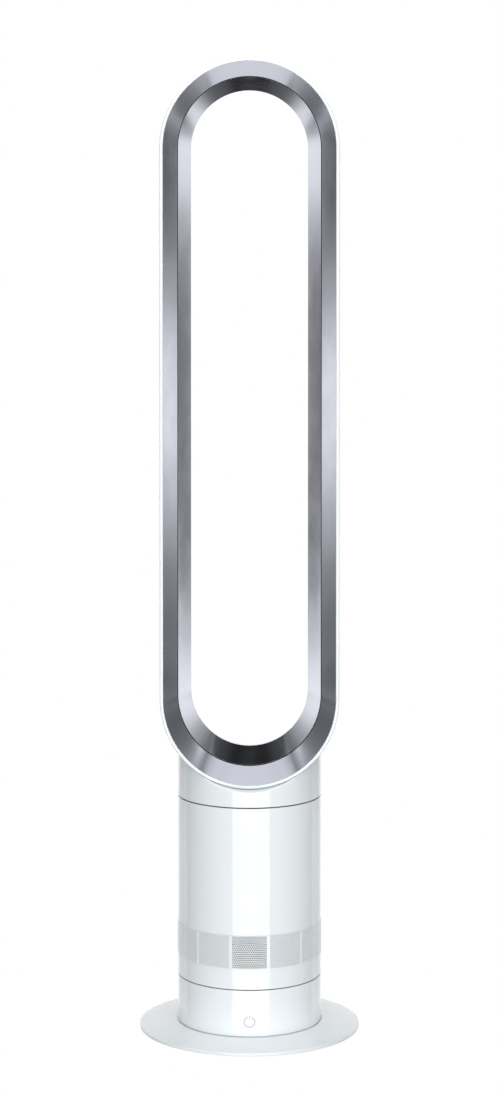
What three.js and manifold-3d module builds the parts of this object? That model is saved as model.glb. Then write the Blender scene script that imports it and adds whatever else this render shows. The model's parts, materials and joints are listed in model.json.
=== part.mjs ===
// A loop tower fan. A plate and a short drum stand still. The body above them swivels on a hollow post,
// draws air in through a perforated band, and drives it up into a tall loop that blows it forwards.
// Millimetres, +Z up, the fan blows towards -Y, and the origin is on the floor under the swivel axis.
import * as THREE from "three";
import { mergeVertices } from "three/addons/utils/BufferGeometryUtils.js";
import Module from "manifold-3d";

const wasm = await Module();
wasm.setup();

// Driving dimensions
const PLATE_R = 114.5; // stand plate
const BODY_R = 74.5; // outside of the drum and the body
const WALL = 3; // their wall
const GAP = 0.3; // clearance between pieces that meet
const DRUM_Z = [9.9, 56.8]; // the drum that stands still
const BODY_Z = [57.6, 243.2]; // the shell that swivels
const BAND_Z = [78.9, 113.1]; // perforated air inlet
const COLLAR_Z = 243.8; // underside of the loop's collar
const LOOP_R = 94; // outside of the loop, from the middle of its arcs
const LOOP_LOW_Z = 352; // middle of the lower arc
const LOOP_HIGH_Z = 916; // middle of the upper arc
const BUTTON_Z = 24.8; // power button
const PANELS = 12; // perforated panels round the inlet band
const FEET = 6;
const SCREWS = 4;
const SCREW_CIRCLE_R = 58; // the screws that join plate and drum
const GLAND = { z: 22, neckR: 6, holeR: 3.4 }; // bush for a mains lead, at the back of the drum
const SWIVEL_POST_R = 13;
const GEAR_MODULE = 1;
const GEAR_TEETH = 56;
const PINION_TEETH = 16;
const BLADES = 9;
const VANES = 11;

// Sizes that follow from them
const INNER_R = BODY_R - WALL;
const FIT_R = INNER_R - GAP; // a disc that slips inside the shells
const PINION_Y = (GEAR_MODULE * (GEAR_TEETH + PINION_TEETH)) / 2;
const BORE_R = SWIVEL_POST_R + GAP;
const TURN = 2 * Math.PI;
const rad = THREE.MathUtils.degToRad;
const lerp = THREE.MathUtils.lerp;

// Facets of a full turn
const FINE = 36;
const ROUND = 20;
const SMALL = 10;

// Finishes
const finish = (color, roughness, metalness = 0) =>
  new THREE.MeshStandardMaterial({ color, roughness, metalness });
const WHITE = finish(0xeef1f3, 0.28);
const NICKEL = finish(0x9a9ca6, 0.22, 0.85);
const BLACK = finish(0x26282b, 0.5);
const GREY = finish(0x8d9196, 0.5);
const STEEL = finish(0xb4b7ba, 0.3, 1);
const COPPER = finish(0xb06a3a, 0.35, 1);
const RUBBER = finish(0x3a3b3d, 0.85);
const BOARD = finish(0x1f5a3c, 0.5);
const ACETAL = finish(0xe6e2d6, 0.45);
const FOAM = finish(0x55585c, 0.95);

// A closed geometry as a manifold-3d solid.
function solid(geometry) {
  const bare = geometry.index ? geometry.toNonIndexed() : geometry.clone();
  for (const name of Object.keys(bare.attributes)) {
    if (name !== "position") bare.deleteAttribute(name);
  }
  const merged = mergeVertices(bare, 1e-4);
  const index = merged.index.array;
  const faces = [];
  for (let i = 0; i < index.length; i += 3) {
    const [a, b, c] = [index[i], index[i + 1], index[i + 2]];
    if (a !== b && b !== c && c !== a) faces.push(a, b, c);
  }
  return new wasm.Manifold(
    new wasm.Mesh({
      numProp: 3,
      vertProperties: merged.attributes.position.array,
      triVerts: new Uint32Array(faces),
    }),
  );
}

// A solid as a geometry again.
function geometryOf(made) {
  const { numVert, numProp, vertProperties, triVerts } = made.getMesh();
  const position = new Float32Array(numVert * 3);
  for (let i = 0; i < numVert; i++) {
    position.set(vertProperties.subarray(i * numProp, i * numProp + 3), i * 3);
  }
  const geometry = new THREE.BufferGeometry();
  geometry.setAttribute("position", new THREE.BufferAttribute(position, 3));
  geometry.setIndex(new THREE.BufferAttribute(triVerts, 1));
  geometry.computeVertexNormals();
  return geometry;
}

const join = (shapes) => shapes.reduce((sum, shape) => sum.add(shape));
const cut = (shape, tools) => tools.reduce((left, tool) => left.subtract(tool), shape);

// Twice the area of an outline, positive when it runs anticlockwise.
const turning = (points) =>
  points.reduce((sum, [x, y], i) => {
    const [nextX, nextY] = points[(i + 1) % points.length];
    return sum + x * nextY - nextX * y;
  }, 0);

// A closed outline of [radius, height] turned about Z.
function turned(outline, facets = ROUND) {
  const points = turning(outline) < 0 ? [...outline].reverse() : outline;
  const profile = [...points, points[0]].map(([r, z]) => new THREE.Vector2(r, z));
  return solid(new THREE.LatheGeometry(profile, facets).rotateX(Math.PI / 2));
}

const tube = (inner, outer, z0, z1, facets = ROUND) =>
  turned([[inner, z0], [outer, z0], [outer, z1], [inner, z1]], facets);

const rod = (r, z0, z1, facets = SMALL) =>
  solid(
    new THREE.CylinderGeometry(r, r, z1 - z0, facets)
      .rotateX(Math.PI / 2)
      .translate(0, 0, (z0 + z1) / 2),
  );

// A rod that runs front to back.
const crossRod = (r, y0, y1, x, z, facets = SMALL) =>
  solid(new THREE.CylinderGeometry(r, r, y1 - y0, facets).translate(x, (y0 + y1) / 2, z));

const box = ([x0, x1], [y0, y1], [z0, z1]) =>
  solid(
    new THREE.BoxGeometry(x1 - x0, y1 - y0, z1 - z0).translate(
      (x0 + x1) / 2,
      (y0 + y1) / 2,
      (z0 + z1) / 2,
    ),
  );

// A flat shape raised along Z.
const raised = (shape, z0, z1, curveSegments = 3) =>
  solid(
    new THREE.ExtrudeGeometry(shape, { depth: z1 - z0, bevelEnabled: false, curveSegments })
      .translate(0, 0, z0),
  );

const ringCopies = (count, shape, start = 0) =>
  Array.from({ length: count }, (_, i) => shape.rotate([0, 0, start + (360 * i) / count]));

// A closed outline of [radius, depth] carried round the loop: two half turns joined by straight sides.
function carriedRound(outline, facets = 14) {
  const points = turning(outline) > 0 ? [...outline].reverse() : outline;
  const stations = [];
  for (const [middle, start] of [[LOOP_HIGH_Z, 0], [LOOP_LOW_Z, Math.PI]]) {
    for (let i = 0; i <= facets; i++) stations.push([middle, start + (Math.PI * i) / facets]);
  }
  const position = [];
  for (const [middle, angle] of stations) {
    for (const [r, y] of points) {
      position.push(r * Math.cos(angle), y, middle + r * Math.sin(angle));
    }
  }
  const index = [];
  const n = points.length;
  stations.forEach((_, s) => {
    const here = s * n;
    const next = ((s + 1) % stations.length) * n;
    for (let k = 0; k < n; k++) {
      const k2 = (k + 1) % n;
      index.push(here + k, next + k, next + k2, here + k, next + k2, here + k2);
    }
  });
  const geometry = new THREE.BufferGeometry();
  geometry.setAttribute("position", new THREE.Float32BufferAttribute(position, 3));
  geometry.setIndex(index);
  return solid(geometry);
}

// Stand: plate, ballast and feet

function basePlate() {
  const skin = turned([
    [0, 9.3], [75, 9.3], [112.8, 4.2], [114.1, 3.7], [PLATE_R, 2.9], [114.1, 1.9],
    [113.2, 1.6], [106.2, 1.6], [106.2, 3.3], [100, 3.3], [78, 6.9], [0, 7.2],
  ], FINE);
  const screwHole = rod(2.3, 6, 11).translate([SCREW_CIRCLE_R, 0, 0]);
  return cut(skin, ringCopies(SCREWS, screwHole, 45));
}

const undercover = () => turned([[0, 1.6], [105.9, 1.6], [105.9, 2.6], [105, 3], [0, 3]], FINE);
function ballast() {
  const screwRoom = rod(4.8, 3, 7).translate([SCREW_CIRCLE_R, 0, 0]);
  return cut(tube(12, 76, 3.3, 6.6, FINE), ringCopies(SCREWS, screwRoom, 45));
}
const footPad = () => turned([[0, 0], [7.4, 0], [8, 0.5], [8, 1.3], [0, 1.3]], SMALL);

// A pan-head screw with a hex socket, its seat at z = 0 and its shank along +Z.
function screw(headR, headH, shankR, shankLength) {
  const body = turned([
    [0, -headH], [headR * 0.8, -headH], [headR, -headH * 0.6], [headR, 0],
    [shankR, 0], [shankR, shankLength], [0, shankLength],
  ], SMALL);
  return body.subtract(rod(headR * 0.45, -headH - 1, -headH * 0.4, 6));
}

// Stand: the drum and what it holds

function drumShell() {
  const button = crossRod(6.4, -BODY_R - 5, -INNER_R + 8, 0, BUTTON_Z);
  const gland = crossRod(GLAND.neckR + GAP, INNER_R - 8, BODY_R + 5, 0, GLAND.z);
  return cut(tube(INNER_R, BODY_R, ...DRUM_Z, FINE), [button, gland]);
}

// The rubber bush that a mains lead would pass through.
function cableGland() {
  const neck = crossRod(GLAND.neckR, 68, 76.6, 0, GLAND.z);
  const outerLip = crossRod(8, 74.9, 76.6, 0, GLAND.z);
  const innerLip = crossRod(8, 68, 70.2, 0, GLAND.z);
  return join([neck, outerLip, innerLip]).subtract(crossRod(GLAND.holeR, 60, 80, 0, GLAND.z));
}

const STEPPER_EAR_X = 18;
const CHASSIS_TOP = 12.2;

function chassis() {
  const floor = tube(9.5, FIT_R, 9.7, CHASSIS_TOP, FINE);
  const post = tube(9.5, SWIVEL_POST_R, 11, 64.5);
  const thrustFlange = turned([[12, 44], [13, 44], [20, 47.5], [20, 50], [12, 50]]);
  const screwBoss = tube(2.1, 4.5, 11, 18, SMALL).translate([SCREW_CIRCLE_R, 0, 0]);
  const earBoss = (x) => rod(3.2, 11, 44).translate([x, PINION_Y, 0]);
  const boardPost = (x) => box([x - 1.8, x + 1.8], [-62.5, -56], [11, 40]);
  const boardGroove = box([-25.3, 25.3], [-60.3, -58.1], [13.7, 41]);
  const rib = (y) => box([-56, -29], [y - 1, y + 1], [11, 15.7]);
  const made = join([
    floor, post, thrustFlange, ...ringCopies(SCREWS, screwBoss, 45),
    earBoss(STEPPER_EAR_X), earBoss(-STEPPER_EAR_X), boardPost(25.6), boardPost(-25.6),
    rib(18), rib(-18),
  ]);
  const screwHole = rod(2.1, 8, 20).translate([SCREW_CIRCLE_R, 0, 0]);
  const earHole = (x) => rod(1.7, 36, 45).translate([x, PINION_Y, 0]);
  return cut(made, [
    ...ringCopies(SCREWS, screwHole, 45),
    earHole(STEPPER_EAR_X), earHole(-STEPPER_EAR_X), boardGroove,
  ]);
}

const controlBoard = () => box([-25, 25], [-60, -58.4], [14, 44]);
const switchBody = () =>
  box([-3.1, 3.1], [-63.3, -60.3], [BUTTON_Z - 3.1, BUTTON_Z + 3.1]).subtract(
    crossRod(2.1, -64, -61.5, 0, BUTTON_Z),
  );
const infraredReceiver = () =>
  box([12, 19], [-63.5, -60.3], [33, 41]).add(crossRod(2.6, -65.3, -63, 15.5, 37.5));

const powerBoard = () => box([-58, -27], [-21, 21], [16, 17.6]);
const powerTransformer = () =>
  box([-46, -30], [-17, -1], [17.9, 20]).add(
    join([box([-44, -32], [-15.5, -2.5], [19, 33]), box([-46, -30], [-12, -6], [19, 30])]),
  );
const powerCapacitor = () =>
  turned([[0, 17.9], [5.6, 17.9], [6, 18.6], [6, 37], [5.4, 38], [0, 38]], SMALL).translate([-40, 10, 0]);

function stepperMotor() {
  const can = rod(14, 27, 45.5, ROUND);
  const ears = box([-22, 22], [-3.5, 3.5], [44.3, 45.5]);
  const nose = rod(4.6, 45, 48.6);
  const earHole = (x) => rod(1.9, 40, 47).translate([x, 0, 0]);
  return cut(join([can, ears, nose]), [
    earHole(STEPPER_EAR_X), earHole(-STEPPER_EAR_X), rod(2.9, 40, 50),
  ]);
}

// Swivel

const bearingRing = () => tube(BORE_R, 19.6, 50.3, 51.9);
const retainer = () =>
  tube(BORE_R, 18.5, 62.2, 63.6).subtract(box([-3, 3], [0, 30], [60, 66]));

// An involute gear. Tooth thickness is cut back by the backlash, so that the pair turns freely, and
// only the teeth from first to last are cut: the rest of the rim stays at the root.
function gearShape(teeth, boreR, first, last, boreFacets, backlash = 0.12) {
  const pressure = rad(20);
  const involute = (angle) => Math.tan(angle) - angle;
  const pitchR = (GEAR_MODULE * teeth) / 2;
  const baseR = pitchR * Math.cos(pressure);
  const tipR = pitchR + 0.9 * GEAR_MODULE;
  const rootR = pitchR - 1.15 * GEAR_MODULE;
  const halfAtPitch = Math.PI / (2 * teeth) - backlash / (2 * pitchR);
  const halfAt = (r) => halfAtPitch + involute(pressure) - involute(Math.acos(Math.min(1, baseR / r)));
  const flankStart = Math.max(baseR, rootR + 0.2);
  const side = [rootR, pitchR, tipR].map((r) => [r, halfAt(Math.max(r, flankStart))]);
  const points = [];
  for (let i = 0; i < teeth; i++) {
    const middle = (TURN * i) / teeth;
    if (i < first || i > last) {
      points.push([rootR, middle]);
      continue;
    }
    for (const [r, half] of side) points.push([r, middle - half]);
    for (const [r, half] of [...side].reverse()) points.push([r, middle + half]);
  }
  const at = ([r, angle]) => new THREE.Vector2(r * Math.cos(angle), r * Math.sin(angle));
  const shape = new THREE.Shape(points.map(at));
  const bore = Array.from({ length: boreFacets }, (_, i) => at([boreR, (-TURN * i) / boreFacets]));
  shape.holes.push(new THREE.Path(bore));
  return shape;
}

// The swivel is limited, so the gear has teeth only on the side towards the pinion.
const swivelGear = () => raised(gearShape(GEAR_TEETH, BORE_R, 5, 23, ROUND), 52.2, 57.7);
const pinion = () => raised(gearShape(PINION_TEETH, 2.8, 0, PINION_TEETH, SMALL), 52.4, 57.4);
const stepperShaft = () => rod(2.5, 40.3, 57.6);

// Power button: its front follows the drum, and its flange keeps it in.
function powerButton() {
  const cap = crossRod(6.1, -BODY_R - 2, -69.5, 0, BUTTON_Z);
  const flange = crossRod(7.5, -70.7, -69.5, 0, BUTTON_Z);
  const stem = crossRod(2, -70, -65.6, 0, BUTTON_Z);
  return join([cap, flange, stem]).intersect(rod(BODY_R, 0, 60, FINE));
}
const switchPlunger = () => crossRod(1.7, -65.3, -62.6, 0, BUTTON_Z);

// Swivelling body: shell, floor and inlet

function bodyShell() {
  const recess = tube(73.1, BODY_R + 2, BAND_Z[0] - GAP, BAND_Z[1] + GAP, FINE);
  const window = box([-18, 18], [-90, -60], [BAND_Z[0] + 2, BAND_Z[1] - 2]);
  return cut(tube(INNER_R, BODY_R, ...BODY_Z, FINE), [recess, ...ringCopies(PANELS / 2, window)]);
}

// The perforation is stood for by rows of slots, a set to each panel.
function inletGrille() {
  const rows = 3;
  const pitch = (BAND_Z[1] - BAND_Z[0] - 2) / rows;
  const slots = [];
  for (let i = 0; i < rows; i++) {
    const middle = BAND_Z[0] + 1 + (i + 0.5) * pitch;
    slots.push(box([-17.6, 17.6], [-90, -60], [middle - 4, middle + 4]));
  }
  return cut(tube(73.4, 74.9, ...BAND_Z, FINE), slots.flatMap((slot) => ringCopies(PANELS, slot)));
}

function bodyFloor() {
  return turned([
    [BORE_R, 58], [68.8, 58], [68.8, 52], [70.6, 52], [70.6, 58], [FIT_R, 58], [FIT_R, 60.8],
    [17, 60.8], [17, 61.8], [BORE_R, 61.8],
  ], ROUND);
}

const inletFoam = () => tube(24, 68, 61.1, 69);
const ductFoam = () => tube(64.2, FIT_R, 121, 228);
const isolationRing = () => tube(69.1, FIT_R, 115, 120.5);

// Impeller and motor

const IMPELLER_Z = [120.5, 150];
const flowLine = (r0, r1) => (s) => [lerp(r0, r1, s ** 1.4), lerp(...IMPELLER_Z, s)];
const hubLine = flowLine(12, 39.5);
const tipLine = flowLine(37.5, 57);
const steps = (n) => Array.from({ length: n + 1 }, (_, i) => i / n);

// A curved blade between two flow lines. Its angle, in degrees, changes along the flow.
function blade(inner, outer, angleAt, thickness, n) {
  const position = [];
  for (const s of steps(n)) {
    for (const [line, over] of [[inner, -0.6], [outer, 0]]) {
      const [r, z] = line(s);
      const radius = r + over;
      const half = thickness / 2 / radius;
      for (const side of [-half, half]) {
        const angle = rad(angleAt(s)) + side;
        position.push(radius * Math.cos(angle), radius * Math.sin(angle), z);
      }
    }
  }
  const index = [];
  const quad = (a, b, c, d) => index.push(a, b, c, a, c, d);
  const around = [[0, 1], [1, 3], [3, 2], [2, 0]];
  for (let i = 0; i < n; i++) {
    for (const [a, b] of around) quad(4 * i + a, 4 * i + b, 4 * i + 4 + b, 4 * i + 4 + a);
  }
  quad(0, 2, 3, 1);
  quad(4 * n, 4 * n + 1, 4 * n + 3, 4 * n + 2);
  const geometry = new THREE.BufferGeometry();
  geometry.setAttribute("position", new THREE.Float32BufferAttribute(position, 3));
  geometry.setIndex(index);
  const made = solid(geometry);
  if (made.volume() > 0) return made;
  geometry.setIndex(index.reverse());
  return solid(geometry);
}

function impeller() {
  const hub = turned([
    [3.3, 119], [9, 119], ...steps(3).map(hubLine), [39.5, 151.5], [36.5, 151.5],
    [24.5, 140], [13, 128.5], [9, 128.5], [9, 140], [3.3, 140],
  ]);
  const one = blade(hubLine, tipLine, (s) => 62 * s, 1.6, 3);
  return join([hub, ...ringCopies(BLADES, one)]);
}

function impellerShroud() {
  const inside = steps(3).map(tipLine).map(([r, z]) => [r + 1.2, z]);
  const outside = inside.map(([r, z]) => [r + 1.2, z]).reverse();
  return turned([...inside, ...outside]);
}

function impellerHousing() {
  return turned([
    [40.6, 116.2], ...steps(3).map(flowLine(41, 60.6)), [60.6, 152.2],
    [62.6, 152.2], ...steps(3).reverse().slice(0, 3).map(flowLine(44, 62.6)), [46, 119],
    [68.8, 119], [68.8, 116.5], [43, 116.5],
  ]);
}

const hexNut = () => rod(6, 114.5, 118.7, 6).subtract(rod(3.3, 110, 120));
const motorShaft = () => turned([[0, 112], [2.4, 112], [3, 113], [3, 189.4], [2.4, 190], [0, 190]], SMALL);
const rotorMagnet = () => tube(3.3, 12.9, 165, 183);

function diffuser() {
  const straight = (r) => (s) => [r, lerp(156, 188, s)];
  const vane = blade(straight(41.6), straight(61.2), (s) => -34 * (1 - s) ** 2, 1.6, 3);
  const inner = tube(40.3, 42, 154.5, 190);
  const outer = tube(60.6, 62.6, 152.5, 190);
  return join([inner, outer, ...ringCopies(VANES, vane)]);
}

function motorBucket() {
  return turned([
    [6, 154.5], [40, 154.5], [40, 196.5], [37.6, 196.5], [37.6, 157], [12, 157],
    [12, 163.6], [9.3, 163.6], [9.3, 157], [6, 157],
  ]);
}

// Six slots round the bore leave six poles for the windings.
const POLES = 6;
function sector(inner, outer, halfAngle) {
  const shape = new THREE.Shape();
  shape.absarc(0, 0, outer, -halfAngle, halfAngle, false);
  shape.absarc(0, 0, inner, halfAngle, -halfAngle, true);
  return shape;
}
function motorStator() {
  const slot = raised(sector(17, 32, rad(17)), 160, 190);
  return cut(tube(13.6, 37.2, 166, 182), ringCopies(POLES, slot));
}
function statorWinding() {
  const bar = box([18.5, 30.5], [-4.4, 4.4], [163, 184]);
  const endTurns = (z0, z1) => tube(18, 31, z0, z1);
  return join([endTurns(162, 165.6), endTurns(182.4, 186), ...ringCopies(POLES, bar)]);
}

const bearing = () => tube(3.3, 9, -2.4, 2.4);
const motorBracket = () => tube(9.4, 37.2, 187, 189.6);
const driverBoard = () => tube(6, 36.8, 191, 192.6);

function motorDome() {
  const cap = (r, height) =>
    steps(5).map((s) => [r * Math.cos((s * Math.PI) / 2), 196.8 + height * Math.sin((s * Math.PI) / 2)]);
  return turned([...cap(40, 29), ...cap(37.8, 27).reverse()]);
}

// Collar and its bayonet fitting

function sectorRing(inner, outer, z0, z1, halfAngle) {
  return raised(sector(inner, outer, rad(halfAngle)), z0, z1);
}
const BAYONET = { lugs: 3, lugAngle: 10, notchAngle: 12, notchTurn: 42 };

function topRing() {
  const ring = turned([[58, 236], [FIT_R, 236], [FIT_R, 242.9], [58, 242.9]], FINE);
  const notch = sectorRing(50, 64.6, 230, 250, BAYONET.notchAngle);
  return cut(ring, ringCopies(BAYONET.lugs, notch, BAYONET.notchTurn));
}

const collarGasket = () => tube(65.5, 69.5, 243.2, 244.7);

// The collar is the drum's shape, hollowed, and cut by the loop that it carries.
function loopCollar() {
  const alongLoop = (r) =>
    solid(new THREE.CylinderGeometry(r, r, 200, 60).translate(0, 0, LOOP_LOW_Z));
  const outside = rod(BODY_R, COLLAR_Z, 302, FINE).subtract(alongLoop(LOOP_R + GAP));
  const hollow = rod(INNER_R, 240, 302, FINE).subtract(alongLoop(LOOP_R + 3));
  const duct = box([-44, 44], [-40, 34], [250, 302]);
  const flange = tube(57, INNER_R + 1, 245, 247.6, FINE);
  const spigot = tube(55, 57.6, 231, 247.6, ROUND);
  const lug = sectorRing(56, 64, 231, 235.5, BAYONET.lugAngle);
  return join([cut(outside, [hollow, duct]), flange, spigot, ...ringCopies(BAYONET.lugs, lug)]);
}

// Loop: its section is an aerofoil, blunt at the back, with a slot between the inner wall and the guide

const REAR = { r: 77.7, y: 16, halfWidth: 16.4, depth: 35 }; // the blunt back is half an ellipse
const SKIN = 2.2;

function rearArc(inset, n) {
  return steps(n).map((s) => [
    REAR.r + (REAR.halfWidth - inset) * Math.cos(s * Math.PI),
    REAR.y + (REAR.depth - inset) * Math.sin(s * Math.PI),
  ]);
}

function loopCasing() {
  const outer = [[89.5, -58.6], [91, -59.6], [92.6, -57.6], [93.8, -30], ...rearArc(0, 8)];
  const inner = [...rearArc(SKIN, 6).reverse(), [91.5, -30], [89.7, -57]];
  const ductHole = box([-43, 43], [-38, 32], [240, 264]);
  return carriedRound([...outer, ...inner]).subtract(ductHole);
}

// The polished wall from the narrowest part of the opening forwards to the slot.
const loopInnerWall = () =>
  carriedRound([[61.4, 15.4], [74.3, -26.5], [75, -26.7], [75.4, -25.6], [63.2, 15.4]]);

// The polished guide that flares from the slot to the front edge.
const loopGuide = () =>
  carriedRound([
    [77, -19.5], [75.9, -22.4], [75.9, -26.2], [89, -58.2], [89.3, -56.8], [79, -29], [79.2, -20.4],
  ]);

// Assembly

const fan = new THREE.Group();
const body = new THREE.Group();
const stepper = new THREE.Group();
const spinner = new THREE.Group();
stepper.position.set(0, PINION_Y, 0);
fan.add(body, stepper);
body.add(spinner);

function add(group, name, shape, material, place = [0, 0, 0], turn = 0) {
  const mesh = new THREE.Mesh(geometryOf(shape), material);
  mesh.name = name;
  mesh.position.set(...place);
  mesh.rotation.z = turn;
  group.add(mesh);
}

const onCircle = (r, degrees, z) => [r * Math.cos(rad(degrees)), r * Math.sin(rad(degrees)), z];

add(fan, "base_plate", basePlate(), WHITE);
add(fan, "base_undercover", undercover(), WHITE);
add(fan, "ballast_disc", ballast(), STEEL);
for (let i = 0; i < FEET; i++) {
  add(fan, `foot_pad_${i + 1}`, footPad(), RUBBER, onCircle(94, 30 + (360 * i) / FEET, 0));
}
for (let i = 0; i < SCREWS; i++) {
  const place = onCircle(SCREW_CIRCLE_R, 45 + (360 * i) / SCREWS, 6.9);
  add(fan, `plate_screw_${i + 1}`, screw(4, 2.4, 1.8, 10), STEEL, place);
}
add(fan, "drum_shell", drumShell(), WHITE);
add(fan, "drum_chassis", chassis(), GREY);
add(fan, "cable_gland", cableGland(), RUBBER);
add(fan, "control_board", controlBoard(), BOARD);
add(fan, "power_switch", switchBody(), BLACK);
add(fan, "infrared_receiver", infraredReceiver(), BLACK);
add(fan, "power_board", powerBoard(), BOARD);
add(fan, "power_transformer", powerTransformer(), BLACK);
add(fan, "power_capacitor", powerCapacitor(), BLACK);
add(fan, "swivel_bearing_ring", bearingRing(), ACETAL);
add(fan, "swivel_retainer", retainer(), STEEL);
add(fan, "power_button", powerButton(), WHITE);
add(fan, "switch_plunger", switchPlunger(), BLACK);

add(stepper, "stepper_motor", stepperMotor(), STEEL);
[-1, 1].forEach((side, i) => {
  const stepperScrew = screw(3.2, 1.8, 1.4, 7.8).rotate([180, 0, 0]);
  add(stepper, `stepper_screw_${i + 1}`, stepperScrew, STEEL, [side * STEPPER_EAR_X, 0, 45.8]);
});
add(stepper, "stepper_shaft", stepperShaft(), STEEL);
add(stepper, "swivel_pinion", pinion(), ACETAL, [0, 0, 0], Math.PI / PINION_TEETH);

add(body, "body_shell", bodyShell(), WHITE);
add(body, "inlet_grille", inletGrille(), WHITE);
add(body, "body_floor", bodyFloor(), GREY);
add(body, "swivel_gear", swivelGear(), ACETAL);
add(body, "inlet_foam", inletFoam(), FOAM);
add(body, "duct_foam", ductFoam(), FOAM);
add(body, "isolation_ring", isolationRing(), RUBBER);
add(body, "impeller_housing", impellerHousing(), GREY);
add(body, "diffuser", diffuser(), GREY);
add(body, "motor_bucket", motorBucket(), GREY);
add(body, "motor_stator", motorStator(), STEEL);
add(body, "stator_winding", statorWinding(), COPPER);
add(body, "motor_bearing_lower", bearing(), STEEL, [0, 0, 160.2]);
add(body, "motor_bearing_upper", bearing(), STEEL, [0, 0, 187]);
add(body, "motor_bracket", motorBracket(), GREY);
add(body, "motor_driver_board", driverBoard(), BOARD);
add(body, "motor_dome", motorDome(), GREY);
add(body, "body_top_ring", topRing(), GREY);
add(body, "collar_gasket", collarGasket(), RUBBER);
add(body, "loop_collar", loopCollar(), WHITE);
add(body, "loop_casing", loopCasing(), WHITE);
add(body, "loop_guide", loopGuide(), NICKEL);
add(body, "loop_inner_wall", loopInnerWall(), NICKEL);

add(spinner, "impeller", impeller(), BLACK);
add(spinner, "impeller_shroud", impellerShroud(), BLACK);
add(spinner, "impeller_nut", hexNut(), STEEL);
add(spinner, "motor_shaft", motorShaft(), STEEL);
add(spinner, "rotor_magnet", rotorMagnet(), BLACK);

export default fan;
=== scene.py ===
# A loop tower fan: its moulded shells, polished loop, perforated inlet band and finishes, built on
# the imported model.
import bpy
import json
import math
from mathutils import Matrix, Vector


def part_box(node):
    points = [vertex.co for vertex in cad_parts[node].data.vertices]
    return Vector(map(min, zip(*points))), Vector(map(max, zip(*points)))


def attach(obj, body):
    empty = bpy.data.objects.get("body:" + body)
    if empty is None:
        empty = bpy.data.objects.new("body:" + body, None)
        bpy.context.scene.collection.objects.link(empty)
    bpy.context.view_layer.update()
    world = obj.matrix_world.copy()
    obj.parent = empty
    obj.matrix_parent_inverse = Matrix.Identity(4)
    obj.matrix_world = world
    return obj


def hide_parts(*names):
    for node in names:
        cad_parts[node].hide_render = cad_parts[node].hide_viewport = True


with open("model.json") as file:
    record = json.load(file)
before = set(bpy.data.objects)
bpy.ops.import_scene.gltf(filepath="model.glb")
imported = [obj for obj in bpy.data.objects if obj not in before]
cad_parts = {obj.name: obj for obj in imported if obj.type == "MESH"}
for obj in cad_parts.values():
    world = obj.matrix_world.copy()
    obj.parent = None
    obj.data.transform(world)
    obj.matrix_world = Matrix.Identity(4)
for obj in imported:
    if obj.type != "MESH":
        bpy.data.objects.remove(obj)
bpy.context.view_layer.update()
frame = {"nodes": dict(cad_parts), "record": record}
nodes = frame["nodes"]
bpy.ops.object.select_all(action="DESELECT")

MM = 0.001
FULL = 2 * math.pi

# Sizes of the faces that meet or repeat, in millimetres
BODY_R, INNER_R = 74.5, 71.5  # outside and inside of the drum, the body and the collar
RABBET_R = 73.7  # the step inside the top edges of the drum and the body
DRUM_LOW, DRUM_TOP = 9.9, 56.8
BODY_LOW, BODY_TOP = 57.8, 243.1
COLLAR_LOW = 244.3
LOOP_LOW, LOOP_HIGH = 352.0, 916.0  # middles of the loop's two arcs
LOOP_STEPS = 72  # facets of half a turn round the loop
FRONT_SADDLE_R, SADDLE_R = 92.1, 94.5  # the collar's seat under the loop, in front and behind
SADDLE_FRONT_Y, SADDLE_BLEND = -59, 75  # where the seat starts to widen, and over what depth
BUTTON_Z = 24.8
BUTTON_R, BUTTON_HOLE_R, BUTTON_FLANGE_R, BUTTON_STEM_R = 6.1, 6.3, 7.5, 2
SIGN_R, SIGN_INNER_R, SIGN_GAP, SIGN_STROKE = 5.5, 4.4, 1.5, 0.5  # the last two are half widths
LEAD_Z, LEAD_HOLE_R = 22, 6.3
FEET = 6

# The perforated band, in millimetres
BAND_LOW, BAND_HIGH = 78.9, 113.1
BAND_R, BAND_WALL, BAND_CLEARANCE = 74.9, 1.1, 0.12
RECESS_R = 73.1  # bottom of the body's recess, which the band lies in
PANELS = 12
HOLE_ROWS, HOLE_COLUMNS = 17, 17
HOLE_REACH = 0.84  # from a hole's middle to its corners, before they are rounded
HOLE_MARGIN = 1.5  # plain edge above and below the holes
RIB = math.radians(0.85) * BAND_R  # half of the plain rib between two panels
PUNCHED_AREA = 0.8  # the faces inside the holes are smaller than this
WINDOW_HALF, WINDOW_LIP = 18, 0.7  # half width, and how far short of the band's edge

# The blunt back of the loop's section: middle, half thickness and depth, in millimetres
REAR_R, REAR_Y, REAR_HALF, REAR_DEPTH = 77.7, 16.0, 16.4, 35.0
REAR_WALL = 2.2

HOLD = 0.08  # how far off a round the flat beside it starts
BRIGHTEST = 1.3  # the studio's tones run from 0 to this


# Modelling

def only(*pieces):
    """Selects these pieces and nothing else."""
    bpy.ops.object.select_all(action="DESELECT")
    for piece in pieces:
        piece.select_set(True)
    bpy.context.view_layer.objects.active = pieces[0]


def named(name):
    """Names the primitive just added, with its place put into its mesh."""
    piece = bpy.context.active_object
    piece.name = piece.data.name = name
    only(piece)
    bpy.ops.object.transform_apply(location=True, rotation=True, scale=True)
    return piece


def edit_all(piece, mode="VERT", action="SELECT"):
    """Enters edit mode with all of a piece selected."""
    only(piece)
    bpy.ops.object.mode_set(mode="EDIT")
    bpy.ops.mesh.select_mode(type=mode)
    bpy.ops.mesh.select_all(action=action)


def pick(piece, wanted, mode="FACE"):
    """Enters edit mode with the faces or vertices that pass a test selected, and nothing else."""
    edit_all(piece, mode, "DESELECT")
    bpy.ops.object.mode_set(mode="OBJECT")
    for element in piece.data.polygons if mode == "FACE" else piece.data.vertices:
        element.select = wanted(element)
    bpy.ops.object.mode_set(mode="EDIT")


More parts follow.
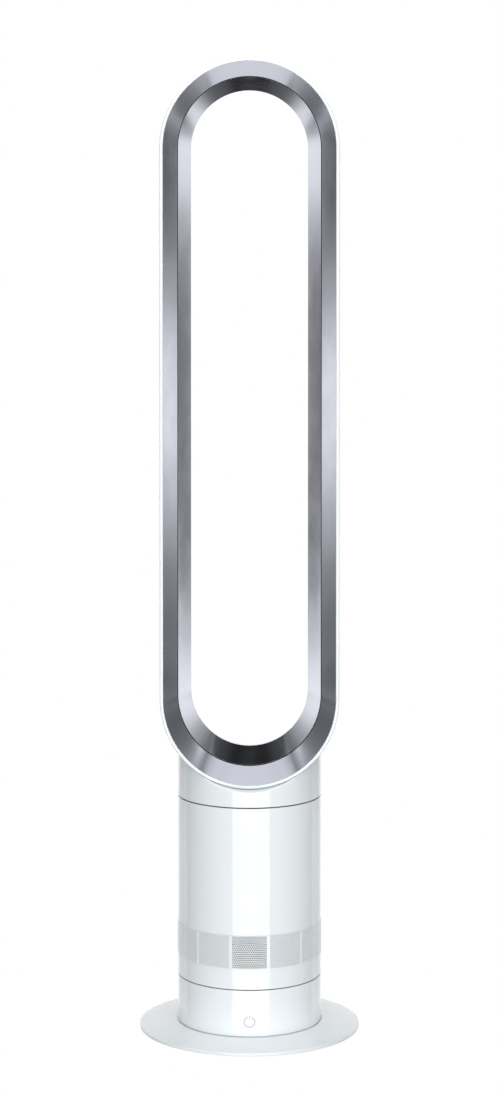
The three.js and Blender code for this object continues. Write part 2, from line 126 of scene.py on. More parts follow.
def drop_faces(piece, unwanted):
    """Deletes the faces that pass a test."""
    pick(piece, unwanted)
    bpy.ops.mesh.delete(type="FACE")
    bpy.ops.object.mode_set(mode="OBJECT")


def done(smooth=30):
    """Leaves edit mode with doubles merged, loose bits gone and normals facing out."""
    bpy.ops.mesh.select_all(action="SELECT")
    bpy.ops.mesh.remove_doubles(threshold=1e-6)
    bpy.ops.mesh.delete_loose()
    bpy.ops.mesh.select_all(action="SELECT")
    bpy.ops.mesh.normals_make_consistent(inside=False)
    bpy.ops.object.mode_set(mode="OBJECT")
    if smooth:
        bpy.ops.object.shade_smooth_by_angle(angle=math.radians(smooth))


def finish_with(piece, kind, **settings):
    """Adds a modifier and applies it."""
    modifier = piece.modifiers.new(kind.title(), kind)
    for key, value in settings.items():
        setattr(modifier, key, value)
    only(piece)
    bpy.ops.object.modifier_apply(modifier=modifier.name)


def carve(piece, *tools, operation="DIFFERENCE"):
    """Cuts each tool out of a piece, or keeps what they share, and removes the tool."""
    for tool in tools:
        finish_with(piece, "BOOLEAN", operation=operation, solver="EXACT", object=tool)
        bpy.data.objects.remove(tool)
    edit_all(piece)
    done()


def eased(corners, steps=4):
    """
    An outline whose corners are rounded. A corner is (across, up) or (across, up, radius).
    A point just off each end of a round keeps the flats beside it flat.
    """
    places = [Vector(corner[:2]) for corner in corners]
    towards, reaches = [], []
    for i, (corner, here) in enumerate(zip(corners, places)):
        before = (places[i - 1] - here).normalized()
        after = (places[(i + 1) % len(places)] - here).normalized()
        towards.append((before, after))
        reaches.append(corner[2] / math.tan(before.angle(after) / 2) if len(corner) > 2 else 0)
    outline = []
    for i, (here, (before, after), reach) in enumerate(zip(places, towards, reaches)):
        if not reach:
            outline.append(tuple(here))
            continue
        centre = here + (before + after).normalized() * math.hypot(reach, corners[i][2])
        start, end = here + before * reach - centre, here + after * reach - centre
        following = (i + 1) % len(places)
        if (places[i - 1] - here).length - reach - reaches[i - 1] > 4 * HOLD:
            outline.append(tuple(here + before * (reach + HOLD)))
        outline += [tuple(centre + start.slerp(end, k / steps) * corners[i][2])
                    for k in range(steps + 1)]
        if (places[following] - here).length - reach - reaches[following] > 4 * HOLD:
            outline.append(tuple(here + after * (reach + HOLD)))
    return outline


def outline_ring(name, points):
    """A closed ring of edges through the given points, ready to be swept."""
    bpy.ops.object.select_all(action="DESELECT")
    bpy.ops.mesh.primitive_circle_add(vertices=len(points), radius=1)
    ring = named(name)
    for vertex, point in zip(ring.data.vertices, points):
        vertex.co = Vector(point) * MM
    return ring


def turned(name, corners, steps=96, smooth=30, ease=4):
    """A closed outline of (radius, height) corners, spun about the swivel axis."""
    ring = outline_ring(name, [(r, 0, z) for r, z in eased(corners, ease)])
    edit_all(ring)
    bpy.ops.mesh.spin(steps=steps, angle=FULL, center=(0, 0, 0), axis=(0, 0, 1))
    done(smooth)
    return ring


def round_the_loop(name, corners):
    """A closed outline of (radius, depth) corners, carried round the loop's arcs and sides."""
    ring = outline_ring(name, [(r, y, LOOP_HIGH) for r, y in eased(corners)])
    drop = (LOOP_LOW - LOOP_HIGH) * MM
    edit_all(ring)
    for middle, straight in ((LOOP_HIGH, drop), (LOOP_LOW, -drop)):
        bpy.ops.mesh.spin(steps=LOOP_STEPS, angle=math.pi, center=(0, 0, middle * MM),
                          axis=(0, 1, 0))
        bpy.ops.mesh.extrude_edges_move(TRANSFORM_OT_translate={"value": (0, 0, straight)})
    done()
    return ring


def rod(name, radius, start, end, sides=64):
    """A cylinder between two points, in millimetres."""
    start, end = Vector(start) * MM, Vector(end) * MM
    along = end - start
    bpy.ops.mesh.primitive_cylinder_add(
        vertices=sides, radius=radius * MM, depth=along.length, location=(start + end) / 2,
        rotation=along.to_track_quat("Z", "Y").to_euler())
    return named(name)


def block(name, low, high):
    """A box between two corners, in millimetres."""
    low, high = Vector(low) * MM, Vector(high) * MM
    bpy.ops.mesh.primitive_cube_add(size=1, location=(low + high) / 2, scale=high - low)
    return named(name)


def drum_round(radius):
    """A tall finely faceted cylinder, which gives the button and its sign the drum's round."""
    return rod("drum_round", radius, (0, 0, 0), (0, 0, 60), 256)


def move(piece, by):
    """Moves a piece in its own mesh, by metres."""
    edit_all(piece)
    bpy.ops.transform.translate(value=by)
    bpy.ops.object.mode_set(mode="OBJECT")


def turn(piece, degrees):
    """Turns a piece in its own mesh about the swivel axis."""
    edit_all(piece)
    bpy.ops.transform.rotate(value=-math.radians(degrees), orient_axis="Z",
                             center_override=(0, 0, 0))
    bpy.ops.object.mode_set(mode="OBJECT")


def copy_of(piece, name):
    """A copy with a mesh of its own."""
    twin = piece.copy()
    twin.data = piece.data.copy()
    twin.name = twin.data.name = name
    bpy.context.scene.collection.objects.link(twin)
    return twin


def go_round(piece, count):
    """Repeats a piece round the swivel axis, with the copies' edges merged."""
    pivot = bpy.data.objects.new("pivot", None)
    bpy.context.scene.collection.objects.link(pivot)
    pivot.rotation_euler.z = FULL / count
    bpy.context.view_layer.update()
    finish_with(piece, "ARRAY", count=count, use_relative_offset=False, use_object_offset=True,
                offset_object=pivot, use_merge_vertices=True, use_merge_vertices_cap=True,
                merge_threshold=0.02 * MM)
    bpy.data.objects.remove(pivot)


def fit(piece, body, slot, finish, *stands_for):
    """Puts a piece on its body, with its finish, in place of the CAD nodes it stands for."""
    piece.data.materials.clear()
    piece.data.materials.append(finish)
    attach(piece, body)
    if stands_for:
        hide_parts(*stands_for)


# Stand

def make_plate():
    """The stand's plate: a shallow cone, grooved round the drum, with a turned-in edge."""
    return turned("plate", [
        (0, 9.3), (73.2, 9.3), (73.2, 8.1), (75.2, 8.1), (75.2, 9.15, 0.3), (111.2, 5.0, 4),
        (114.4, 4.45, 0.6), (114.4, 1.5, 0.6), (106.2, 1.5, 0.3), (106.2, 3.3), (100, 3.3),
        (78, 6.9), (0, 7.2),
    ], steps=160)


def make_undercover():
    """The disc that closes the plate from below, with two pressed rings."""
    return turned("undercover", [
        (0, 1.7), (28, 1.7, 0.5), (30, 2.3, 0.5), (36, 2.3, 0.5), (38, 1.7, 0.5), (76, 1.7, 0.5),
        (78, 2.3, 0.5), (82, 2.3, 0.5), (84, 1.7, 0.5), (105.7, 1.7, 0.5), (105.7, 3.1), (0, 3.1),
    ], steps=128)


def make_feet():
    """Six domed rubber feet: one turned and moved to its place, and copied round."""
    low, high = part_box("foot_pad_1")
    centre = (low + high) / 2
    first = turned("foot_1", [(0, 0), (6.2, 0, 2), (7.9, 0.6, 0.5), (7.9, 1.4), (0, 1.4)], 32)
    move(first, (centre.x, centre.y, 0))
    feet = [first]
    for i in range(1, FEET):
        feet.append(copy_of(first, f"foot_{i + 1}"))
        turn(feet[i], 360 / FEET * i)
    return feet


def make_drum():
    """The drum that stands still: a plain ring, with a hole for the button and one for the lead."""
    drum = turned("drum", [
        (INNER_R, DRUM_LOW), (BODY_R, DRUM_LOW, 0.25), (BODY_R, DRUM_TOP, 0.2),
        (RABBET_R, DRUM_TOP, 0.1), (RABBET_R, DRUM_TOP - 2.4), (INNER_R, DRUM_TOP - 2.4),
    ], steps=160)
    carve(drum,
          rod("button_hole", BUTTON_HOLE_R, (0, -90, BUTTON_Z), (0, -60, BUTTON_Z)),
          rod("lead_hole", LEAD_HOLE_R, (0, 60, LEAD_Z), (0, 90, LEAD_Z)))
    return drum


def make_button():
    """The power button: a cap whose face follows the drum, a flange behind it, and a stem."""
    button = rod("button", BUTTON_R, (0, -75.6, BUTTON_Z), (0, -69.6, BUTTON_Z))
    pick(button, lambda face: face.normal.y > 0.9)
    for radius, before, depth in (
            (BUTTON_FLANGE_R, BUTTON_R, 1.1), (BUTTON_STEM_R, BUTTON_FLANGE_R, 2.8)):
        bpy.ops.mesh.extrude_region_move(TRANSFORM_OT_translate={"value": (0, 0, 0)})
        bpy.ops.transform.resize(value=(radius / before,) * 3)
        bpy.ops.mesh.extrude_region_move(TRANSFORM_OT_translate={"value": (0, depth * MM, 0)})
    done()
    carve(button, drum_round(BODY_R - 0.05), operation="INTERSECT")
    finish_with(button, "BEVEL", width=0.25 * MM, segments=3, limit_method="ANGLE",
                angle_limit=math.radians(60))
    edit_all(button)
    done()
    return button


def make_button_mark():
    """The power sign: an open ring and a bar, raised a hair from the button and as round."""
    front, back = -76, -73.8
    mark = rod("button_mark", SIGN_R, (0, front, BUTTON_Z), (0, back, BUTTON_Z), 96)
    carve(mark,
          rod("ring_inside", SIGN_INNER_R, (0, -80, BUTTON_Z), (0, -70, BUTTON_Z), 96),
          block("ring_gap", (-SIGN_GAP, -80, BUTTON_Z + 2), (SIGN_GAP, -70, BUTTON_Z + 8)))
    bar = block("bar", (-SIGN_STROKE, front, BUTTON_Z + 2.6), (SIGN_STROKE, back, BUTTON_Z + 5.8))
    only(mark, bar)
    bpy.ops.object.join()
    carve(mark, drum_round(BODY_R + 0.01), operation="INTERSECT")
    return mark


def make_gland():
    """The rubber bush in the lead's hole, with a rolled lip outside and one inside."""
    corners = [
        (3.4, -76.6, 0.5), (7.6, -76.6, 0.7), (8, -74.9, 0.3), (6, -74.9), (6, -70.2),
        (8, -70.2, 0.4), (8, -68, 0.4), (3.4, -68, 0.4),
    ]
    bush = outline_ring("gland", [(r, -y, LEAD_Z) for r, y in eased(corners)])
    edit_all(bush)
    bpy.ops.mesh.spin(steps=48, angle=FULL, center=(0, 0, LEAD_Z * MM), axis=(0, 1, 0))
    done()
    return bush


# Swivelling body

def make_body():
    """The tall shell, recessed for the band, with six windows for the air."""
    low, high = BAND_LOW - BAND_CLEARANCE, BAND_HIGH + BAND_CLEARANCE
    shell = turned("body", [
        (INNER_R, BODY_LOW), (BODY_R, BODY_LOW, 0.2), (BODY_R, low, 0.25), (RECESS_R, low),
        (RECESS_R, high), (BODY_R, high, 0.25), (BODY_R, BODY_TOP, 0.2),
        (RABBET_R, BODY_TOP, 0.1), (RABBET_R, BODY_TOP - 2.5), (INNER_R, BODY_TOP - 2.5),
    ], steps=180)
    windows = []
    for i in range(PANELS // 2):
        windows.append(block(f"window_{i}", (-WINDOW_HALF, -90, BAND_LOW + WINDOW_LIP),
                             (WINDOW_HALF, -60, BAND_HIGH - WINDOW_LIP)))
        turn(windows[i], 720 / PANELS * i)
    carve(shell, *windows)
    return shell


def make_band():
    """The perforated band: one panel is punched flat, rolled, copied round, and thickened."""
    columns, rows = 2 * HOLE_COLUMNS + 2, HOLE_ROWS + 1
    panel = FULL / PANELS
    width, height = panel * BAND_R, BAND_HIGH - BAND_LOW
    step = (width - 2 * RIB) / (columns - 2)
    drop = (height - 2 * HOLE_MARGIN) / (rows - 2)
    across = [0] + [RIB + i * step for i in range(columns - 1)] + [width]
    up = [0] + [HOLE_MARGIN + i * drop for i in range(rows - 1)] + [height]
    bpy.ops.mesh.primitive_grid_add(x_subdivisions=columns, y_subdivisions=rows, size=1,
                                    rotation=(math.pi / 2, 0, 0))
    band = named("band")
    holes = set()
    for vertex in band.data.vertices:
        column = round((vertex.co.x + 0.5) * columns)
        row = round((vertex.co.z + 0.5) * rows)
        vertex.co = Vector((across[column] - width / 2, 0, BAND_LOW + up[row])) * MM
        if 1 < column < columns - 1 and 0 < row < rows and (column + row) % 2 == 1:
            holes.add(vertex.index)
    pick(band, lambda vertex: vertex.index in holes, "VERT")
    bpy.ops.mesh.bevel(offset=HOLE_REACH * MM, segments=2, affect="VERTICES", profile=0.086,
                       clamp_overlap=False)
    bpy.ops.object.mode_set(mode="OBJECT")
    drop_faces(band, lambda face: face.area < PUNCHED_AREA * MM * MM)
    finish_with(band, "SIMPLE_DEFORM", deform_method="BEND", deform_axis="Z", angle=panel)
    move(band, (0, -BAND_R * MM, 0))
    go_round(band, PANELS)
    finish_with(band, "SOLIDIFY", thickness=BAND_WALL * MM, offset=-1)
    edit_all(band)
    done(50)
    return band


def saddle(x, y):
    """Height of the collar's seat, which follows the loop's lower arc and flank."""
    back = min(max((y - SADDLE_FRONT_Y) / SADDLE_BLEND, 0), 1)
    radius = FRONT_SADDLE_R + (SADDLE_R - FRONT_SADDLE_R) * back
    return LOOP_LOW - math.sqrt(radius ** 2 - x ** 2)


def make_collar():
    """The collar: the body's round below, and above it a seat dished to the loop."""
    seat = 300.0  # stands for the seat's height until the outline has been turned
    collar = turned("collar", [
        (BODY_R, COLLAR_LOW, 0.25), (BODY_R, seat, 1.1), (66, seat), (50, seat), (34, seat),
        (34, seat - 2.7), (INNER_R, seat - 2.7), (INNER_R, 247.6), (55, 247.6), (55, 231, 0.4),
        (57.6, 231, 0.4), (57.6, 245), (INNER_R, 245), (INNER_R, COLLAR_LOW),
    ], steps=192, smooth=0, ease=5)
    for vertex in collar.data.vertices:
        if vertex.co.z > (seat - 20) * MM:
            vertex.co.z += (saddle(vertex.co.x / MM, vertex.co.y / MM) - seat) * MM
    only(collar)
    bpy.ops.object.shade_smooth_by_angle(angle=math.radians(35))
    return collar


# Loop

def rear_curve(inset, steps):
    """The back of the loop's section: half an ellipse, from the outside in."""
    angles = [math.pi * i / steps for i in range(steps + 1)]
    return [(REAR_R + (REAR_HALF - inset) * math.cos(angle),
             REAR_Y + (REAR_DEPTH - inset) * math.sin(angle)) for angle in angles]


def make_casing():
    """The white outside of the loop: a thin front rim, flat sides and a blunt back."""
    return round_the_loop("casing", [
        (88.6, -57.6, 0.1), (88.6, -59.4, 0.3), (91.75, -59.4, 1.3), (93.2, -30),
        *rear_curve(0, 28), *reversed(rear_curve(REAR_WALL, 16)), (91.0, -30),
        (90.2, -57.0, 0.3),
    ])


def make_guide():
    """The silver face that flares from the slot to the front rim."""
    return round_the_loop("guide", [
        (76.4, -20), (74.4, -22.2, 0.8), (74.4, -26.4, 0.06), (88.52, -58.9, 0.1),
        (88.5, -55.8, 0.1), (77.4, -29.5, 1), (77.4, -20.4, 0.5),
    ])


def make_inner_wall():
    """The silver wall inside the loop, from its narrowest part forwards to the slot."""
    return round_the_loop("inner_wall", [
        (61.0, 15.6, 0.25), (73.65, -25.1, 0.02), (73.75, -24.6), (73.5, -21),
        (66.3, 3), (62.9, 15.6, 0.25),
    ])


# Finishes

def put(tree, kind, inputs=(), **settings):
    """Adds a node. Each input is (socket, a value or another node's output)."""
    node = tree.nodes.new("ShaderNode" + kind)
    for key, value in settings.items():
        setattr(node, key, value)
    for socket, value in inputs:
        if isinstance(value, bpy.types.NodeSocket):
            tree.links.new(value, node.inputs[socket])
        else:
            node.inputs[socket].default_value = value
    return node


def noise(tree, where, scale, detail, roughness=0.5):
    """Noise on a place, about 0.5 in the middle. Scale is per metre."""
    return put(tree, "TexNoise", [("Vector", where), ("Scale", scale), ("Detail", detail),
                                  ("Roughness", roughness)]).outputs["Fac"]


def spread(tree, value, start=0.3, end=0.7):
    """0 where a value is below start, 1 where it is above end, and even between them."""
    return put(tree, "MapRange", [("Value", value), ("From Min", start),
                                  ("From Max", end)]).outputs["Result"]


def mix(tree, factor, first, second):
    """Blends two colours, from the first at 0 to the second at 1."""
    return put(tree, "Mix", [("Factor", factor), ("A", first), ("B", second)],
               data_type="RGBA").outputs["Result"]


def start_group(name):
    """A finish's node group, with its input node and the piece's own coordinates."""
    group = bpy.data.node_groups.new(name, "ShaderNodeTree")
    for label, kind, value in (
            ("Colour", "Color", (0.8, 0.8, 0.8, 1)), ("Drift", "Color", (0.75, 0.75, 0.75, 1)),
            ("Roughness Low", "Float", 0.2), ("Roughness High", "Float", 0.4),
            ("Scale", "Float", 700.0)):
        socket = group.interface.new_socket(
            label, in_out="INPUT", socket_type="NodeSocket" + kind)
        socket.default_value = value
    for label, kind in (("Color", "Color"), ("Roughness", "Float"), ("Height", "Float")):
        group.interface.new_socket(label, in_out="OUTPUT", socket_type="NodeSocket" + kind)
    return group, group.nodes.new("NodeGroupInput"), put(group, "TexCoord").outputs["Object"]


def end_group(group, start, tone, gloss, gloss_low, gloss_high, height):
    """Ends a group: colour follows tone, and roughness follows gloss from low to high."""
    end = group.nodes.new("NodeGroupOutput")
    colour = mix(group, tone, start.outputs["Colour"], start.outputs["Drift"])
    roughness = put(group, "MapRange", [
        ("Value", gloss), ("From Min", gloss_low), ("From Max", gloss_high),
        ("To Min", start.outputs["Roughness Low"]), ("To Max", start.outputs["Roughness High"]),
    ]).outputs["Result"]
    for label, value in (("Color", colour), ("Roughness", roughness), ("Height", height)):
        group.links.new(value, end.inputs[label])
    return group


def build_moulded_skin():
    """Moulded plastic: slow drift in tone, faint handling marks in the gloss, and orange peel."""
    group, start, where = start_group("moulded_skin")
    tone = spread(group, noise(group, where, 9.0, 3.0))
    marks = noise(group, where, 34.0, 5.0, 0.62)
    peel = noise(group, where, start.outputs["Scale"], 1.5)
    return end_group(group, start, tone, marks, 0.36, 0.66, peel)


def build_turned_metal():
    """Turned or drawn metal: fine rings about the swivel axis, and cloudy tone."""
    group, start, where = start_group("turned_metal")
    apart = put(group, "SeparateXYZ", [("Vector", where)]).outputs
    flat = put(group, "CombineXYZ", [("X", apart["X"]), ("Y", apart["Y"])]).outputs["Vector"]
    reach = put(group, "VectorMath", [(0, flat)], operation="LENGTH").outputs["Value"]
    ring = put(group, "CombineXYZ", [("X", reach), ("Y", apart["Z"])]).outputs["Vector"]
    lines = noise(group, ring, start.outputs["Scale"], 2.0)
    cloud = spread(group, noise(group, where, 60.0, 4.0))
    return end_group(group, start, cloud, lines, 0.3, 0.7, lines)


MOULDED_SKIN = build_moulded_skin()
TURNED_METAL = build_turned_metal()


def material(name, group, colour, drift, gloss, scale, bump, metallic=0.0, specular=0.5):
    """A finish made from a group: two tones, a roughness range, and a bump in millimetres."""
    made = bpy.data.materials.new(name)
    made.use_nodes = True
    made.diffuse_color = (*colour, 1)
    tree = made.node_tree
    shader = tree.nodes["Principled BSDF"]
    skin = put(tree, "Group", [
        ("Colour", (*colour, 1)), ("Drift", (*drift, 1)), ("Roughness Low", gloss[0]),
        ("Roughness High", gloss[1]), ("Scale", scale),
    ], node_tree=group).outputs
    relief = put(tree, "Bump", [("Height", skin["Height"]), ("Distance", bump * MM),
                                ("Strength", 1.0)])
    tree.links.new(skin["Color"], shader.inputs["Base Color"])
    tree.links.new(skin["Roughness"], shader.inputs["Roughness"])
    tree.links.new(relief.outputs["Normal"], shader.inputs["Normal"])
    shader.inputs["Metallic"].default_value = metallic
    shader.inputs["Specular IOR Level"].default_value = specular
    return made


def grey(value):
    return (value, value, value)


def overlay(tree, colour, height):
    """Gives a finish a pattern's colour and height in place of its group's."""
    tree.links.new(colour, tree.nodes["Principled BSDF"].inputs["Base Color"])
    tree.links.new(height, tree.nodes["Bump"].inputs["Height"])


def build_foam():
    """Open-cell foam: pits of a millimetre or so, with shade painted inside them."""
    made = material("foam", MOULDED_SKIN, grey(0.05), grey(0.035), (0.9, 0.98), 900, 0.2)
    tree = made.node_tree
    where = put(tree, "TexCoord").outputs["Object"]
    cells = put(tree, "TexVoronoi", [("Vector", where), ("Scale", 620.0)]).outputs["Distance"]
    # Painted shade: this ramp darkens each cell towards its middle in place of the shade inside the
    # pits; the skin stop is the foam's own colour.
    tone = put(tree, "ValToRGB", [("Fac", cells)])
    shaded_pit, skin = tone.color_ramp.elements
    shaded_pit.color = (0.006, 0.006, 0.007, 1)
    skin.color = (0.05, 0.05, 0.053, 1)
    skin.position = 0.6
    overlay(tree, tone.outputs["Color"], cells)
    return made


def build_board():
    """A circuit board: green mask, with paler tracks under it and tinned pads."""
    made = material("circuit_board", MOULDED_SKIN, (0.012, 0.11, 0.05), (0.01, 0.09, 0.04),
                    (0.22, 0.32), 1200, 0.01)
    tree = made.node_tree
    where = put(tree, "TexCoord").outputs["Object"]
    reach = put(tree, "TexVoronoi", [("Vector", where), ("Scale", 260.0), ("Randomness", 0.55)],
                distance="MANHATTAN", feature="F1").outputs["Distance"]
    on_track = put(tree, "Math", [(0, reach), (1, 0.46)],
                   operation="GREATER_THAN").outputs["Value"]
    on_pad = put(tree, "Math", [(0, reach), (1, 0.12)], operation="LESS_THAN").outputs["Value"]
    green = mix(tree, on_track, (0.010, 0.10, 0.045, 1), (0.03, 0.2, 0.09, 1))
    overlay(tree, mix(tree, on_pad, green, (0.62, 0.6, 0.55, 1)), on_track)
    tree.links.new(on_pad, tree.nodes["Principled BSDF"].inputs["Metallic"])
    return made


def build_lines(name, colour, dark, gloss, pitch, bump):
    """Fine level lines, pitch millimetres apart: wound wire, or stacked steel sheet."""
    made = material(name, TURNED_METAL, colour, dark, gloss, 1500, bump, metallic=1.0)
    tree = made.node_tree
    where = put(tree, "TexCoord").outputs["Object"]
    lines = put(tree, "TexWave", [
        ("Vector", where), ("Scale", FULL / 20 / (pitch * MM)), ("Distortion", 0.6),
        ("Detail", 1.0),
    ], bands_direction="Z").outputs["Fac"]
    overlay(tree, mix(tree, lines, (*dark, 1), (*colour, 1)), lines)
    return made


WHITE = material("white_moulding", MOULDED_SKIN, (0.788, 0.832, 0.852), (0.775, 0.82, 0.842),
                 (0.07, 0.1), 650, 0.002, specular=0.6)
SATIN_WHITE = material("satin_white", MOULDED_SKIN, (0.785, 0.825, 0.842), (0.77, 0.812, 0.832),
                       (0.1, 0.14), 650, 0.002, specular=0.4)
PALE_MARK = material("pale_mark", MOULDED_SKIN, grey(0.5), grey(0.46), (0.3, 0.4), 2600, 0.004)
SILVER = material("silver_plating", MOULDED_SKIN, (0.57, 0.585, 0.662), (0.546, 0.56, 0.638),
                  (0.075, 0.1), 900, 0.0016, metallic=1.0)
GREY_PLASTIC = material("grey_moulding", MOULDED_SKIN, grey(0.3), grey(0.27), (0.42, 0.55),
                        2600, 0.03)
BLACK_PLASTIC = material("black_moulding", MOULDED_SKIN, grey(0.02), grey(0.028), (0.35, 0.48),
                         2600, 0.02)
ACETAL = material("acetal", MOULDED_SKIN, (0.78, 0.75, 0.66), (0.74, 0.71, 0.62), (0.3, 0.38),
                  1500, 0.006)
RUBBER = material("rubber", MOULDED_SKIN, grey(0.022), grey(0.03), (0.62, 0.8), 3000, 0.03)
FERRITE = material("ferrite", MOULDED_SKIN, grey(0.03), grey(0.05), (0.5, 0.7), 4200, 0.03)
STEEL = material("turned_steel", TURNED_METAL, grey(0.56), grey(0.48), (0.2, 0.36), 2600, 0.003,
                 metallic=1.0)
ALUMINIUM = material("pressed_aluminium", TURNED_METAL, grey(0.72), grey(0.66), (0.24, 0.4),
                     900, 0.003, metallic=1.0)
FOAM = build_foam()
BOARD = build_board()
COPPER = build_lines("wound_copper", (0.72, 0.3, 0.13), (0.3, 0.1, 0.04), (0.24, 0.36), 0.5, 0.12)
LAMINATIONS = build_lines("steel_laminations", grey(0.42), grey(0.2), (0.3, 0.45), 0.5, 0.04)

FINISH_OF_SLOT = {
    "white_plastic": WHITE, "silver_plastic": SILVER, "grey_plastic": GREY_PLASTIC,
    "black_plastic": BLACK_PLASTIC, "acetal": ACETAL, "circuit_board": BOARD, "foam": FOAM,
    "rubber": RUBBER, "steel": STEEL, "laminations": LAMINATIONS, "ferrite": FERRITE,
    "copper": COPPER, "aluminium": ALUMINIUM,
}


# Studio

# Two curved cards behind the fan, whose tones are what the polished faces mirror. Each has its
# radius in metres, the degrees from straight behind where it starts and ends on either side, and
# strips of tone: the sine of the angle where a strip starts, and its (height, grey) stops.
CARDS = {
    "far_card": (0.74, 30.4, 34, [
        (0.0, [(0.1, 1.15), (0.22, 1.25), (0.275, 0.9), (0.345, 0.45), (0.409, 0.27),
               (0.472, 0.24), (0.597, 0.25), (0.722, 0.26), (0.775, 0.33), (0.81, 0.48),
               (0.847, 0.72), (0.88, 1.05), (0.97, 1.2), (1.0, 1.05)]),
    ]),
    "near_card": (0.56, 31.8, 66, [
        (0.0, [(0.2, 1.1), (0.3, 1.23), (0.37, 1.15), (0.44, 0.86), (0.5, 0.58), (0.54, 0.47),
               (0.6, 0.29), (0.7, 0.25), (0.85, 0.8), (0.95, 1.0)]),
        (0.605, [(0.1, 1.0), (0.25, 0.5), (0.5, 0.45), (0.58, 0.37), (0.62, 0.28), (0.71, 0.22),
                 (0.76, 0.3), (0.8, 0.6), (0.86, 0.84), (0.95, 1.0)]),
        (0.698, [(0.1, 1.0), (0.17, 0.6), (0.249, 0.21), (0.297, 0.23), (0.359, 0.28),
                 (0.42, 0.46), (0.481, 0.8), (0.542, 1.14), (0.603, 1.36), (0.664, 1.2),
                 (0.725, 0.78), (0.787, 0.42), (0.848, 0.22), (0.909, 0.16)]),
        (0.737, [(0.1, 1.0), (0.22, 0.4), (0.32, 0.2), (0.49, 0.21), (0.6, 0.31), (0.72, 0.5),
                 (0.79, 0.45), (0.86, 0.22)]),
    ]),
}
CARD_BLEND = 0.015  # how far one strip takes to become the next, in the same sine
CARD_HEIGHT, CARD_MIDDLE = 1.9, 0.75

# Tones of the surround, from straight down at 0 to straight up at 1
BEHIND_TONES = [
    (0.0, 1.0), (0.14, 1.0), (0.172, 0.8), (0.192, 0.1), (0.22, 0.11), (0.275, 0.32),
    (0.325, 0.93), (0.36, 1.12), (0.42, 1.1), (0.66, 1.0), (0.73, 0.17), (0.78, 0.1),
    (0.82, 0.06), (0.858, 0.025), (0.868, 0.15), (0.885, 0.97),
]
FRONT_TONES = [(0.0, 0.15), (0.45, 0.25), (0.6, 0.35), (1.0, 0.45)]
BEHIND_SLANT, BEHIND_BLEND = -0.75, 0.15  # where the surround turns from its front to its back


def unseen(tree, colour, end):
    """Gives the eye plain white, and every other ray the given colour."""
    kind = "Background" if end.bl_idname == "ShaderNodeOutputWorld" else "Emission"
    white = put(tree, kind, [("Color", (1, 1, 1, 1)), ("Strength", 1.0)])
    toned = put(tree, kind, [("Color", colour), ("Strength", BRIGHTEST)])
    choose = put(tree, "MixShader", [(0, put(tree, "LightPath").outputs["Is Camera Ray"]),
                                     (1, toned.outputs[0]), (2, white.outputs[0])])
    tree.links.new(choose.outputs["Shader"], end.inputs["Surface"])


def ramp(tree, value, stops):
    """A smooth ramp of greys: stops are (position, grey)."""
    made = put(tree, "ValToRGB", [("Fac", value)])
    made.color_ramp.interpolation = "CARDINAL"
    while len(made.color_ramp.elements) < len(stops):
        made.color_ramp.elements.new(0.5)
    for element, (place, shade) in zip(made.color_ramp.elements, stops):
        element.position = place
        element.color = (*grey(shade / BRIGHTEST), 1)
    return made.outputs["Color"]


def either_side(tree, x):
    """How far to the left or right of the middle."""
    return put(tree, "Math", [(0, x)], operation="ABSOLUTE").outputs["Value"]


def stage_finish(name):
    """An empty finish for the studio."""
    made = bpy.data.materials.new(name)
    made.use_nodes = True
    made.node_tree.nodes.clear()
    return made, made.node_tree, put(made.node_tree, "OutputMaterial")


def make_floor():
    """A pale disc of floor, plain white to the eye. It takes no part in the reflections."""
    bpy.ops.mesh.primitive_circle_add(vertices=128, radius=1.15, fill_type="NGON")
    floor = named("floor")
    made, tree, end = stage_finish("floor")
    white = put(tree, "Emission", [("Color", (1, 1, 1, 1)), ("Strength", 1.0)])
    tree.links.new(white.outputs["Emission"], end.inputs["Surface"])
    floor.data.materials.append(made)
    floor.visible_diffuse = floor.visible_glossy = floor.visible_shadow = False


def make_card(name, radius, start_angle, end_angle, strips):
    """One curved card, in two halves either side of straight behind."""
    bpy.ops.mesh.primitive_cylinder_add(
        vertices=720, radius=radius, depth=CARD_HEIGHT, end_fill_type="NOTHING",
        location=(0, 0, CARD_MIDDLE))
    card = named(name)
    drop_faces(card, lambda face: not start_angle < math.degrees(
        math.atan2(abs(face.center.x), face.center.y)) < end_angle)
    made, tree, end = stage_finish(name)
    apart = put(tree, "SeparateXYZ", [("Vector", put(tree, "TexCoord").outputs["Object"])]).outputs
    across = either_side(tree, apart["X"])
    tone = None
    for start, stops in strips:
        strip = ramp(tree, apart["Z"], stops)
        if tone is not None:
            blend = spread(tree, across, start * radius, (start + CARD_BLEND) * radius)
            strip = mix(tree, blend, tone, strip)
        tone = strip
    unseen(tree, tone, end)
    card.data.materials.append(made)
    card.visible_camera = card.visible_shadow = False


def make_lights():
    """One broad soft box in front, a little to the right, and a weaker one overhead."""
    for name, place, size, power, aim in (
            ("front_box", (0.2, -3.4, 0.7), (3.85, 3.8), 126, (0.2, 0, 0.7)),
            ("top_box", (0, -0.5, 3.2), (2.6, 2.6), 38, (0, 0, 0.4))):
        lamp = bpy.data.lights.new(name, "AREA")
        lamp.shape = "RECTANGLE"
        lamp.size, lamp.size_y = size
        lamp.energy = power
        holder = bpy.data.objects.new(name, lamp)
        bpy.context.scene.collection.objects.link(holder)
        holder.location = place
        holder.rotation_euler = (Vector(aim) - Vector(place)).to_track_quat("-Z", "Y").to_euler()
        holder.visible_camera = False


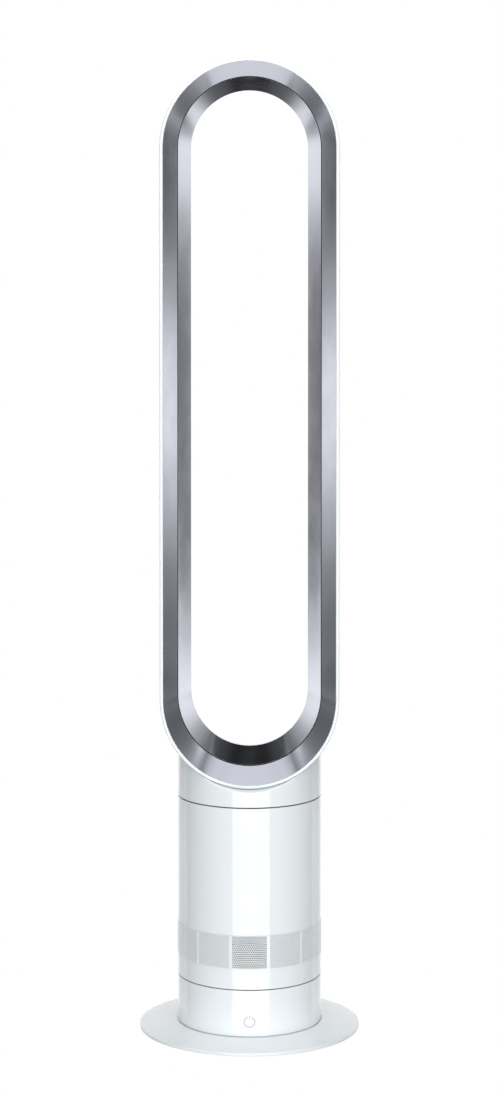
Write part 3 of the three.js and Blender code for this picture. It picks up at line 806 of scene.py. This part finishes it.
def make_surround():
    """White to the eye. In reflections it is dim in front, and toned by height behind."""
    world = bpy.data.worlds.new("surround")
    bpy.context.scene.world = world
    world.use_nodes = True
    tree = world.node_tree
    tree.nodes.clear()
    end = put(tree, "OutputWorld")
    apart = put(tree, "SeparateXYZ",
                [("Vector", put(tree, "TexCoord").outputs["Generated"])]).outputs
    level = spread(tree, apart["Z"], -1, 1)
    behind = ramp(tree, level, BEHIND_TONES)
    front = ramp(tree, level, FRONT_TONES)
    backward = put(tree, "Math", [
        (0, either_side(tree, apart["X"])), (1, BEHIND_SLANT), (2, apart["Y"]),
    ], operation="MULTIPLY_ADD").outputs["Value"]
    turned_back = spread(tree, backward, 0.0, BEHIND_BLEND)
    unseen(tree, mix(tree, turned_back, front, behind), end)


def make_camera():
    """A long lens 3 m in front, a little below the loop's top, tipped down slightly."""
    lens = bpy.data.cameras.new("camera")
    lens.lens = 93.57
    lens.shift_y = -0.25
    lens.clip_end = 50
    camera = bpy.data.objects.new("camera", lens)
    bpy.context.scene.collection.objects.link(camera)
    camera.location = (0.0005, -2.9513, 0.86)
    camera.rotation_euler = (math.radians(90 - 1.421), 0, 0)
    bpy.context.scene.camera = camera
    bpy.context.scene.view_settings.view_transform = "Standard"


# Build

fit(make_plate(), "stand", "white_plastic", SATIN_WHITE, "base_plate")
fit(make_undercover(), "stand", "grey_plastic", GREY_PLASTIC, "base_undercover")
for number, foot in enumerate(make_feet(), 1):
    fit(foot, "stand", "rubber", RUBBER, f"foot_pad_{number}")
fit(make_drum(), "stand", "white_plastic", WHITE, "drum_shell")
fit(make_gland(), "stand", "rubber", RUBBER, "cable_gland")
fit(make_button(), "power_button", "white_plastic", WHITE, "power_button")
fit(make_button_mark(), "power_button", "grey_plastic", PALE_MARK)
fit(make_body(), "upper_body", "white_plastic", WHITE, "body_shell")
fit(make_band(), "upper_body", "white_plastic", WHITE, "inlet_grille")
fit(make_collar(), "upper_body", "white_plastic", WHITE, "loop_collar")
fit(make_casing(), "upper_body", "white_plastic", WHITE, "loop_casing")
fit(make_guide(), "upper_body", "silver_plastic", SILVER, "loop_guide")
fit(make_inner_wall(), "upper_body", "silver_plastic", SILVER, "loop_inner_wall")

for part in frame["record"]["subparts"]:
    node = nodes[part["node"]]
    node.data.materials.clear()
    node.data.materials.append(FINISH_OF_SLOT[part["material_slot"]])

make_floor()
for card, layout in CARDS.items():
    make_card(card, *layout)
make_lights()
make_surround()
make_camera()
